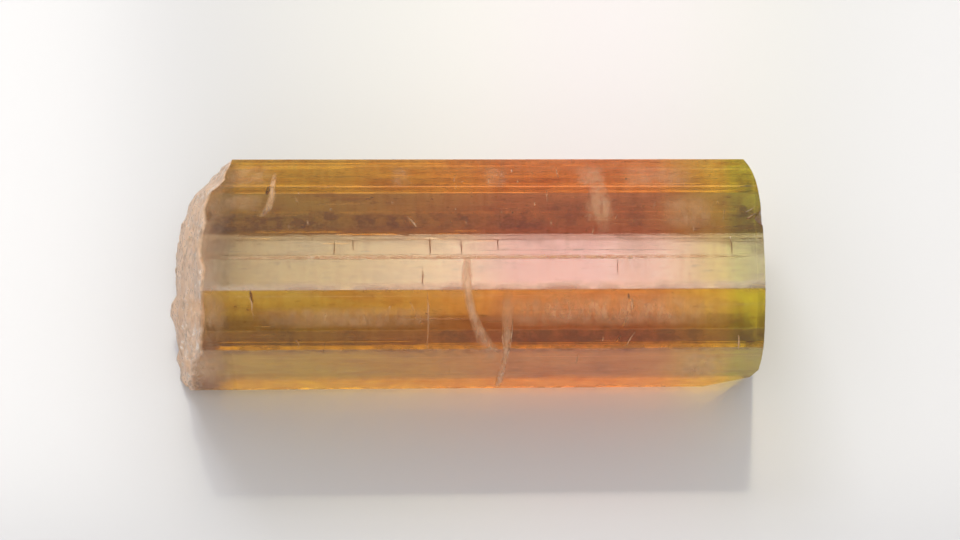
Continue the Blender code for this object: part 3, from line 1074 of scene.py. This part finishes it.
def clear_tourmaline(settings):
    """Tourmaline, a clear gem mineral that grew in ribbed prisms. Its faces are as they grew, glassy, though wear has
    dulled some, with a frosted fracture at one end. Its colour changes in zones along its length and in clouds. Face
    153
    has painted shade: a darker sector tint and dark patches stand in for the dark band that refraction shows there."""
    surface = {"IOR": TOURMALINE_IOR, "Transmission Weight": 1.0}
    material, tree, shader = new_material("clear_tourmaline", surface)
    place = add_node(tree, "ShaderNodeTexCoord").outputs["Object"]
    parts = add_node(tree, "ShaderNodeSeparateXYZ", {}, {"Vector": place})
    share = spread(tree, parts.outputs["X"], -LENGTH / 2 * MM, LENGTH / 2 * MM, 0.0, 1.0)
    zone = shade(tree, share, [(along / LENGTH + 0.5, linear(tint)) for along, tint in ZONES])

    sector = attribute(tree, "growth_sector")
    # Sector tints, among them the painted shade of face 153's dark band
    sector_tints_and_shade, strengths = [], []
    for number, tint, value in SECTOR_COLOURS_AND_SHADE:
        sector_tints_and_shade.append((number / SECTOR_COUNT, linear(tint)))
        strengths.append((number / SECTOR_COUNT, (value, value, value, 1.0)))
    colour = multiply(tree, zone, shade(tree, sector, sector_tints_and_shade, "CONSTANT"))

    # Smoke and the painted shade of face 153, made ragged by a pattern
    smoke_and_shade_mask = calculate(tree, "MULTIPLY", attribute(tree, "smoke_and_shade"), pattern(tree, place, *RAGGED_SMOKE_AND_SHADE))
    marks = (
        (pattern(tree, place, *CLOUDS), CLOUD_SHADE),
        (pattern(tree, place, *STREAKS), STREAK_SHADE),
        (pattern(tree, place, *SPECKS), SPECK_SHADE),
        (calculate(tree, "SUBTRACT", 1.0, smoke_and_shade_mask, clamp=True), SMOKE_AND_PAINTED_SHADE_COLOUR),
    )
    for clear, darkest in marks:
        colour = multiply(tree, colour, shade(tree, clear, [(0.0, linear(darkest)), (1.0, WHITE)]))

    # The Mix node's colour sockets have numbers, because their names stand for sockets of other kinds too
    strength = shade(tree, sector, strengths, "CONSTANT")
    mixed = add_node(tree, "ShaderNodeMix", {"data_type": "RGBA"}, {0: strength, 6: WHITE, 7: colour})
    tree.links.new(mixed.outputs[2], shader.inputs["Base Color"])

    patches = pattern(tree, place, *FROSTED_PATCHES)
    frosted = calculate(tree, "MULTIPLY", attribute(tree, "frosting"), patches)
    roughness = calculate(tree, "MULTIPLY_ADD", frosted, FROSTED_ROUGHNESS, GLASSY_ROUGHNESS)
    tree.links.new(roughness, shader.inputs["Roughness"])

    taken = {"Color": (*settings.absorbed_tint, 1.0), "Density": settings.absorption}
    body = add_node(tree, "ShaderNodeVolumeAbsorption", {}, taken)
    tree.links.new(body.outputs["Volume"], tree.nodes["Material Output"].inputs["Volume"])
    return material


def add_piece(context, name, mesh, material):
    """Puts a piece of the crystal into the scene, on the one body."""
    piece = bpy.data.objects.new(name, mesh)
    context.scene.collection.objects.link(piece)
    mesh.materials.append(material)
    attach(piece, "root")
    return piece


class TOURMALINE_OT_grow_crystal(Operator):
    """Grows the crystal: the ribbed prism with its broken end, its worn end and the fine gaps inside it"""

    bl_idname = "tourmaline.grow_crystal"
    bl_label = "Grow crystal"

    def execute(self, context):
        settings = context.scene.tourmaline_crystal
        skin = grow_skin(settings)
        add_flakes(skin, settings)
        add_growth_tubes(skin, settings)
        crystal = add_piece(context, "crystal_body", skin.mesh("crystal_body"), clear_tourmaline(settings))
        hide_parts(SOLID)
        return {"FINISHED"}


# Healed cracks that reach the skin: ribbons of tiny bubbles that show as pale, milky veils. Each is a row of
# places that it passes: how far along the crystal, how high in the view, how wide the veil looks there and how
# dense it is
VEILS = (
    (
        (0.20, 5.60, 0.30, 0.2), (0.18, 5.10, 0.44, 0.5), (0.18, 4.30, 0.46, 0.7), (0.28, 3.75, 0.46, 0.7),
        (0.52, 2.90, 0.52, 0.7), (0.78, 2.35, 0.66, 0.6), (1.00, 1.90, 0.80, 0.5), (1.10, 1.60, 0.80, 0.3),
        (1.10, 1.10, 0.70, 0.0),
    ),
    ((0.86, 2.30, 0.05, 1.0), (1.00, 2.05, 0.06, 1.0), (1.20, 1.80, 0.08, 1.0), (1.46, 1.62, 0.04, 1.0)),
    ((0.30, 3.60, 0.03, 1.0), (0.52, 2.90, 0.04, 1.0), (0.82, 2.40, 0.05, 1.0), (0.98, 1.95, 0.05, 1.0)),
    (
        (1.84, 4.50, 0.44, 0.0), (1.86, 3.70, 0.52, 0.3), (1.84, 2.95, 0.54, 0.45), (1.82, 2.25, 0.46, 0.6),
        (1.78, 1.70, 0.30, 0.6), (1.70, 1.10, 0.26, 0.6), (1.58, 0.55, 0.34, 0.7), (1.44, 0.10, 0.26, 0.7),
    ),
    ((2.06, 3.05, 0.03, 1.0), (2.02, 2.40, 0.04, 1.0), (1.94, 1.80, 0.05, 1.0), (1.84, 1.45, 0.03, 1.0)),
    ((1.64, 2.60, 0.03, 0.6), (1.64, 2.10, 0.07, 1.0), (1.74, 1.75, 0.04, 1.0)),
    ((7.12, 2.45, 0.03, 0.9), (6.94, 2.20, 0.05, 0.9), (6.74, 1.80, 0.04, 0.9)),
    ((6.98, 3.85, 0.05, 0.6), (6.98, 3.60, 0.10, 1.0), (7.00, 3.35, 0.04, 0.6)),
    ((-1.46, 4.15, 0.05, 0.3), (-1.42, 3.40, 0.10, 0.6), (-1.44, 2.60, 0.09, 0.6), (-1.50, 1.80, 0.05, 0.2)),
    (
        (-7.92, 9.20, 0.30, 0.1), (-7.95, 8.55, 0.26, 0.8), (-7.95, 8.20, 0.34, 0.6), (-8.10, 7.70, 0.40, 0.4),
        (-8.35, 7.30, 0.40, 0.1),
    ),
    ((-8.80, 4.05, 0.03, 0.5), (-8.70, 3.75, 0.07, 1.0), (-8.68, 3.45, 0.05, 0.8), (-8.62, 3.10, 0.03, 0.2)),
    ((-6.90, 2.20, 0.04, 0.8), (-6.80, 2.05, 0.05, 0.8), (-6.84, 1.85, 0.04, 0.5)),
    ((5.60, 9.20, 0.70, 0.1), (5.70, 8.30, 0.90, 0.3), (5.85, 7.40, 0.80, 0.3), (5.90, 6.60, 0.60, 0.1)),
    ((11.40, 2.30, 0.04, 0.5), (11.42, 2.00, 0.09, 1.0), (11.40, 1.68, 0.05, 0.7)),
    ((11.80, 7.45, 0.04, 0.7), (12.02, 7.56, 0.07, 1.0), (12.22, 7.68, 0.04, 0.7)),
    ((11.86, 7.20, 0.04, 0.6), (12.06, 7.31, 0.06, 1.0), (12.24, 7.42, 0.04, 0.6)),
    ((-2.30, 7.30, 0.08, 0.1), (-2.05, 7.05, 0.16, 0.7), (-1.90, 6.85, 0.10, 0.4)),
)
VEIL_STEPS = 8
VEIL_CELLS = 6
VEIL_LIFT = 0.02
VEIL_SWAY = 0.03
FILM_THICKNESS = 0.004


def along_route(route, steps):
    """Points on a smooth curve through a route's rows."""
    rows = [route[0], *route, route[-1]]
    points = []
    for before, start, end, after in zip(rows, rows[1:], rows[2:], rows[3:]):
        for step in range(steps):
            t = step / steps
            points.append(
                tuple(
                    0.5 * (2 * b + (c - a) * t + (2 * a - 5 * b + 4 * c - d) * t**2 + (3 * b - a - 3 * c + d) * t**3)
                    for a, b, c, d in zip(before, start, end, after)
                )
            )
    return points + [route[-1]]


class Film:
    """A growing mesh of closed, thin films, with how dense the film is at each point."""

    def __init__(self):
        self.verts = []
        self.faces = []
        self.density = []

    def add_sheet(self, outer, inner, faces, density):
        """Adds a film between an outer and an inner copy of the same faces."""
        first, half = len(self.verts), len(outer)
        self.verts += outer + inner
        self.density += density + density
        sides = {}
        for face in faces:
            self.faces.append(tuple(first + corner for corner in face))
            self.faces.append(tuple(first + half + corner for corner in reversed(face)))
            for edge in zip(face, face[1:] + face[:1]):
                sides[edge] = True
        for a, b in sides:
            if (b, a) not in sides:
                self.faces.append((first + b, first + a, first + half + a, first + half + b))

    def mesh(self, name):
        """Makes Blender's mesh."""
        smooth = [True] * len(self.faces)
        return new_mesh(name, self.verts, self.faces, smooth, [("film_density", "POINT", self.density)])


def lay_film(film, rows, lift):
    """Lays a film on the faces that it crosses. Its rows go down the picture. Each is a list of places, as (how far
    along the crystal, how high in the view, how dense)."""
    places = [place for row in rows for place in row]
    outer, inner = (
        [below_skin(along, rise, -height)[0] for along, rise, _ in places] for height in (lift + FILM_THICKNESS, lift)
    )
    wide = len(rows[0])
    corners = [row * wide + cell for row in range(len(rows) - 1) for cell in range(wide - 1)]
    faces = [(c, c + wide, c + wide + 1, c + 1) for c in corners]
    film.add_sheet(outer, inner, faces, [dense for _, _, dense in places])


def add_veil(film, route):
    """Lays one veil, which thins out towards its two edges."""
    rows = []
    for number, (along, rise, width, dense) in enumerate(along_route(route, VEIL_STEPS)):
        row = []
        for cell in range(VEIL_CELLS + 1):
            beside = 2 * cell / VEIL_CELLS - 1
            sway = VEIL_SWAY * noise.noise(Vector((number * 0.4, cell * 0.7, along)))
            row.append((along + beside * width / 2 + sway, rise, max(0.0, dense) * (1 - beside * beside)))
        rows.append(row)
    lay_film(film, rows, VEIL_LIFT)


# Milky hazes, each inside one prism face or along one edge: how far along the crystal, how high in the view, half
# length, half height, and how dense
HAZES = (
    (-9.00, 9.02, 1.20, 0.55, 0.20),
    (-9.20, 7.90, 0.95, 0.42, 0.20),
    (-2.60, 9.00, 0.45, 0.50, 0.16),
    (1.40, 9.00, 0.60, 0.50, 0.16),
    (5.40, 9.00, 0.70, 0.55, 0.28),
    (5.70, 7.60, 0.70, 0.60, 0.28),
    (8.20, 9.00, 1.80, 0.55, 0.22),
    (9.40, 7.45, 1.20, 0.80, 0.22),
    (-10.60, 3.35, 0.90, 0.75, 0.45),
    (-10.60, 0.95, 0.90, 0.70, 0.35),
    (0.30, 5.60, 12.60, 0.09, 0.50),
    (-4.75, 3.12, 4.45, 0.50, 0.34),
    (6.05, 3.36, 5.75, 0.76, 0.40),
    (9.90, 0.95, 1.00, 0.70, 0.35),
)
HAZE_CELLS = 16
HAZE_LIFT = 0.012


def add_haze(film, along, rise, half_length, half_height, dense):
    """Lays one haze, which fades out softly on all sides."""
    steps = [2 * step / HAZE_CELLS - 1 for step in range(HAZE_CELLS + 1)]
    places = [min(max(along + step * half_length, CLEAR_START), CLEAR_END) for step in steps]
    fades = [smooth_step(1 - 2 * step * step) for step in steps]
    rows = [
        [(place, rise - down * half_height, dense * across_fade * fade) for place, across_fade in zip(places, fades)]
        for down, fade in zip(steps, fades)
    ]
    lay_film(film, rows, HAZE_LIFT)


# Short, hair-thin healed cracks: where along the crystal they are, their rises on the far and the near faces, their
# half lengths and what long ones have on top, how far they lean, their widths, and how dense their middles and their
# ends are
SPARK_PLACES = (-11.4, 11.4)
SPARK_FAR_RISES = (6.5, 9.3)
SPARK_NEAR_RISES = (0.4, 3.9)
SPARK_HALF_LENGTHS = (0.04, 0.12)
SPARK_EXTRA = 0.2
SPARK_LEAN = 0.25
SPARK_WIDTHS = (0.03, 0.07)
SPARK_DENSITIES = (0.3, 0.9)
SPARK_END_DENSITY = 0.1
LENGTHWISE_SHARE = 0.35
LENGTHWISE_LEAN = 0.1
SPARK_SEED = 61


def spark_routes(count):
    """Short, hair-thin healed cracks, most of them across the upper far faces."""
    rng = random.Random(SPARK_SEED)
    routes = []
    for _ in range(count):
        along = rng.uniform(*SPARK_PLACES)
        rise = rng.uniform(*(SPARK_FAR_RISES if rng.random() < FAR_SHARE else SPARK_NEAR_RISES))
        half = rng.uniform(*SPARK_HALF_LENGTHS) + SPARK_EXTRA * rng.random() ** 3
        lean = rng.gauss(0.0, SPARK_LEAN)
        width = rng.uniform(*SPARK_WIDTHS)
        dense = rng.uniform(*SPARK_DENSITIES)
        over, high = lean * half, half
        if rng.random() < LENGTHWISE_SHARE:
            over, high = half, half * (lean + LENGTHWISE_LEAN)
        ends = [(along + over * way, rise + high * way, width, SPARK_END_DENSITY) for way in (1, -1)]
        routes.append((ends[0], (along, rise, width, dense), ends[1]))
    return routes


# The films' surface, with tiny bubbles in it, their colours from thin to dense, and how much their density counts
# for the colour beside the pattern of bubbles
FILM_SURFACE = {"Roughness": 0.45, "IOR": 1.33, "Transmission Weight": 0.55}
FILM_COLOURS = (
    (0.0, "#D09C70"),
    (0.5, "#F0CCA8"),
    (1.0, "#FFE8D4"),
)
DENSE_SHARE = 0.6


def milky_film():
    """Healed and frosted parts of the tourmaline, full of tiny bubbles: a milky, patchy, see-through skin."""
    material, tree, shader = new_material("milky_film", FILM_SURFACE)
    place = add_node(tree, "ShaderNodeTexCoord").outputs["Object"]
    density = attribute(tree, "film_density")
    paler = calculate(tree, "MULTIPLY_ADD", density, DENSE_SHARE, pattern(tree, place, *BUBBLES))
    colour = shade(tree, paler, [(share, linear(milky)) for share, milky in FILM_COLOURS])
    tree.links.new(colour, shader.inputs["Base Color"])
    patches = pattern(tree, place, *FILM_PATCHES)
    tree.links.new(calculate(tree, "MULTIPLY", density, patches), shader.inputs["Alpha"])
    return material


class TOURMALINE_OT_heal_cracks(Operator):
    """Adds the healed cracks that reach the skin: pale, milky veils"""

    bl_idname = "tourmaline.heal_cracks"
    bl_label = "Heal cracks"

    def execute(self, context):
        film = Film()
        for route in (*VEILS, *spark_routes(context.scene.tourmaline_crystal.sparks)):
            add_veil(film, route)
        for haze in HAZES:
            add_haze(film, *haze)
        add_piece(context, "milky_veils", film.mesh("milky_veils"), milky_film())
        return {"FINISHED"}


# Frosted skin of the broken end: how far along the sides it reaches, how far its two sides lie off the crystal, and
# how dense it is on the fracture and beside it
FROSTED_LENGTH = 3.2
FROSTED_LIFTS = (0.003, 0.007)
FRACTURE_DENSITY = 1.5
NEAR_FRACTURE_DENSITY = 1.0
FROSTED_FADE = 1.5


class TOURMALINE_OT_frost_fracture(Operator):
    """Adds the frosted skin of the broken end, which thins out along the sides"""

    bl_idname = "tourmaline.frost_fracture"
    bl_label = "Frost fracture"

    def execute(self, context):
        crystal = bpy.data.objects.get("crystal_body")
        if crystal is None:
            raise RuntimeError("The frosted skin needs the crystal")
        mesh = crystal.data
        last = (FROSTED_LENGTH - LENGTH / 2) * MM
        sectors = mesh.attributes["growth_sector"].data
        numbers, faces, on_fracture = {}, [], set()
        for face in mesh.polygons:
            sector = int(sectors[face.index].value * SECTOR_COUNT)
            fracture = sector == BROKEN_SECTOR
            side = sector < BROKEN_SECTOR and all(mesh.vertices[v].co.x < last for v in face.vertices)
            if fracture or side:
                faces.append(tuple(numbers.setdefault(v, len(numbers)) for v in face.vertices))
                on_fracture.update(face.vertices if fracture else ())
        points = [mesh.vertices[v] for v in numbers]
        low, high = (lift * MM for lift in FROSTED_LIFTS)
        density = [
            FRACTURE_DENSITY
            if point.index in on_fracture
            else NEAR_FRACTURE_DENSITY * max(0.0, (last - point.co.x) / (FROSTED_LENGTH * MM)) ** FROSTED_FADE
            for point in points
        ]
        film = Film()
        outer = [point.co + point.normal * high for point in points]
        inner = [point.co + point.normal * low for point in points]
        film.add_sheet(outer, inner, faces, density)
        add_piece(context, "frosted_skin", film.mesh("frosted_skin"), milky_film())
        return {"FINISHED"}


FLOOR_SIZE = 4.0
FLOOR_DROP = 0.00002

# Main panel, behind the crystal: its sides, its distance, its height as an angle above the floor, half its angular
# height, its colour, and its share of the stage's brightness
PANEL_LEFT, PANEL_RIGHT = -0.34, 0.12
PANEL_DISTANCE = 0.8
PANEL_HEIGHT = 54.3
PANEL_HALF_ANGLE = 8.7
PANEL_COLOUR = (1.0, 0.965, 0.91)
PANEL_SHARE = 1.34

# How bright the panel's cloth is across it, and its tint: metres from the crystal's middle, and the colour. It is
# dim at two seams
PANEL_CLOTH = (
    (-0.34, "#F9F9F9"),
    (-0.08, "#E7E7E7"),
    (-0.06, "#595950"),
    (-0.046, "#7C7961"),
    (-0.034, "#B5B193"),
    (-0.015, "#C8C5A6"),
    (0.004, "#ECE7C8"),
    (0.018, "#E7D1CE"),
    (0.034, "#EFD7D4"),
    (0.038, "#F6E2DD"),
    (0.040, "#DFD0C8"),
    (0.046, "#DFD0C8"),
    (0.048, "#EFE1D4"),
    (0.054, "#D7CBB8"),
    (0.058, "#CBC89E"),
    (0.064, "#CBCB99"),
    (0.075, "#ADADA2"),
    (0.12, "#E7E7E7"),
)

# Fill panel, in front of the crystal
FILL_ALONG = -0.1
FILL_DISTANCE = 0.7
FILL_HEIGHT = 30.0
FILL_SIZE = 0.40
FILL_COLOUR = (1.0, 0.94, 0.86)
FILL_SHARE = 0.20

# Light of the room: its colour, its share of the stage's brightness at the horizon and from the ceiling, and the
# sine of the height from which on it is the ceiling's
ROOM_COLOUR = (1.0, 0.93, 0.83, 1.0)
WALL_SHARE = 0.04
CEILING_SHARE = 0.12
CEILING_FROM = 0.6


def hang_panel(name, along, height, distance, size, colour, radiance):
    """Hangs a light panel that faces the crystal's axis. Its height is an angle, from the floor behind the crystal
    over the top."""
    data = bpy.data.lights.new(name, "AREA")
    data.shape = "RECTANGLE"
    data.size, data.size_y = size
    data.energy = radiance * math.pi * data.size * data.size_y
    data.color = colour
    panel = bpy.data.objects.new(name, data)
    turn = math.radians(height)
    panel.location = (along, distance * math.cos(turn), distance * math.sin(turn))
    panel.rotation_euler = (turn - math.pi / 2, 0.0, 0.0)
    bpy.context.scene.collection.objects.link(panel)
    return data


def hang_main_panel(brightness):
    """Hangs the main panel. Its lamps light its cloth unevenly."""
    size = (PANEL_RIGHT - PANEL_LEFT, 2 * PANEL_DISTANCE * math.tan(math.radians(PANEL_HALF_ANGLE)))
    middle = (PANEL_LEFT + PANEL_RIGHT) / 2
    radiance = brightness * PANEL_SHARE
    data = hang_panel("main_panel", middle, PANEL_HEIGHT, PANEL_DISTANCE, size, PANEL_COLOUR, radiance)
    data.use_nodes = True
    tree = data.node_tree
    place = add_node(tree, "ShaderNodeNewGeometry").outputs["Parametric"]
    parts = add_node(tree, "ShaderNodeSeparateXYZ", {}, {"Vector": place})
    stops = [((x - PANEL_LEFT) / data.size, linear(colour)) for x, colour in PANEL_CLOTH]
    tree.links.new(shade(tree, parts.outputs["X"], stops), tree.nodes["Emission"].inputs["Color"])


def light_room(scene, brightness):
    """Fills the room with soft light that grows towards the ceiling."""
    scene.world = bpy.data.worlds.new("room_light")
    scene.world.use_nodes = True
    tree = scene.world.node_tree
    room = tree.nodes["Background"]
    room.inputs["Color"].default_value = ROOM_COLOUR
    way = add_node(tree, "ShaderNodeTexCoord").outputs["Generated"]
    parts = add_node(tree, "ShaderNodeSeparateXYZ", {}, {"Vector": way})
    walls, ceiling = brightness * WALL_SHARE, brightness * CEILING_SHARE
    tree.links.new(spread(tree, parts.outputs["Z"], 0.0, CEILING_FROM, walls, ceiling), room.inputs["Strength"])


def add_camera(stage):
    """The camera at the photograph's angle."""
    pixel = LENGTH * MM / CRYSTAL_SPAN_PX
    height = stage.camera_height
    up = Vector((0.0, math.sin(height), math.cos(height)))
    back = Vector((0.0, -math.cos(height), math.sin(height)))
    corners = [in_frame(corner.x, corner.y, 0.0) for corner in CORNERS]
    lowest = min(corner.dot(up) for corner in corners)
    middle = sum(corner.dot(back) for corner in corners) / len(corners)
    aim = up * (lowest + (CRYSTAL_LOWEST_ROW - PHOTO_HEIGHT / 2) * pixel) + back * middle
    aim.x = CAMERA_AIM_ALONG * MM
    data = bpy.data.cameras.new("camera")
    data.sensor_width = SENSOR_WIDTH
    data.lens = SENSOR_WIDTH * stage.camera_distance / (PHOTO_WIDTH * pixel)
    camera = bpy.data.objects.new("camera", data)
    turn = Matrix.Rotation(-stage.camera_turn, 4, "Z")
    tilt = Matrix.Rotation(math.pi / 2 - height, 4, "X")
    stand_off = Matrix.Translation((0.0, 0.0, stage.camera_distance))
    camera.matrix_world = Matrix.Translation(aim) @ turn @ tilt @ stand_off
    bpy.context.scene.collection.objects.link(camera)
    bpy.context.scene.camera = camera


LAMINATE_SURFACE = {"Base Color": (0.60, 0.635, 0.715, 1.0), "Roughness": 0.105, "Specular IOR Level": 0.365}


def white_laminate():
    """White laminate, pressed smooth: it shows a faint, soft mirror image of what lies on it."""
    return new_material("white_laminate", LAMINATE_SURFACE)[0]


class TOURMALINE_OT_set_stage(Operator):
    """Lays the plain pale floor, hangs the two light panels and places the camera"""

    bl_idname = "tourmaline.set_stage"
    bl_label = "Set stage"

    def execute(self, context):
        stage = context.scene.tourmaline_stage
        bpy.ops.mesh.primitive_plane_add(size=FLOOR_SIZE, location=(0.0, 0.0, -FLOOR_DROP))
        floor = context.object
        floor.name = "floor"
        floor.data.materials.append(white_laminate())
        hang_main_panel(stage.brightness)
        fill_size = (FILL_SIZE, FILL_SIZE)
        fill_radiance = stage.brightness * FILL_SHARE
        hang_panel("fill_panel", FILL_ALONG, 180 - FILL_HEIGHT, FILL_DISTANCE, fill_size, FILL_COLOUR, fill_radiance)
        light_room(context.scene, stage.brightness)
        context.scene.view_settings.view_transform = "Standard"
        add_camera(stage)
        return {"FINISHED"}


OPERATORS = (
    TOURMALINE_OT_grow_crystal,
    TOURMALINE_OT_heal_cracks,
    TOURMALINE_OT_frost_fracture,
    TOURMALINE_OT_set_stage,
)


class TOURMALINE_PT_panel(Panel):
    """Lists the steps that build the crystal"""

    bl_label = "Tourmaline"
    bl_idname = "TOURMALINE_PT_panel"
    bl_space_type = "VIEW_3D"
    bl_region_type = "UI"
    bl_category = "Tourmaline"

    def draw(self, context):
        for operator in OPERATORS:
            self.layout.operator(operator.bl_idname)


CLASSES = (CrystalSettings, StageSettings, *OPERATORS, TOURMALINE_PT_panel)


def register():
    """Registers the add-on's classes and its settings."""
    for cls in CLASSES:
        bpy.utils.register_class(cls)
    bpy.types.Scene.tourmaline_crystal = PointerProperty(type=CrystalSettings)
    bpy.types.Scene.tourmaline_stage = PointerProperty(type=StageSettings)


def unregister():
    """Takes the add-on's classes and settings away again."""
    del bpy.types.Scene.tourmaline_stage
    del bpy.types.Scene.tourmaline_crystal
    for cls in reversed(CLASSES):
        bpy.utils.unregister_class(cls)


def main():
    """Builds the crystal and its stage."""
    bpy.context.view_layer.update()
    register()
    bpy.ops.tourmaline.grow_crystal()
    bpy.ops.tourmaline.heal_cracks()
    bpy.ops.tourmaline.frost_fracture()
    bpy.ops.tourmaline.set_stage()


if __name__ == "__main__":
    main()
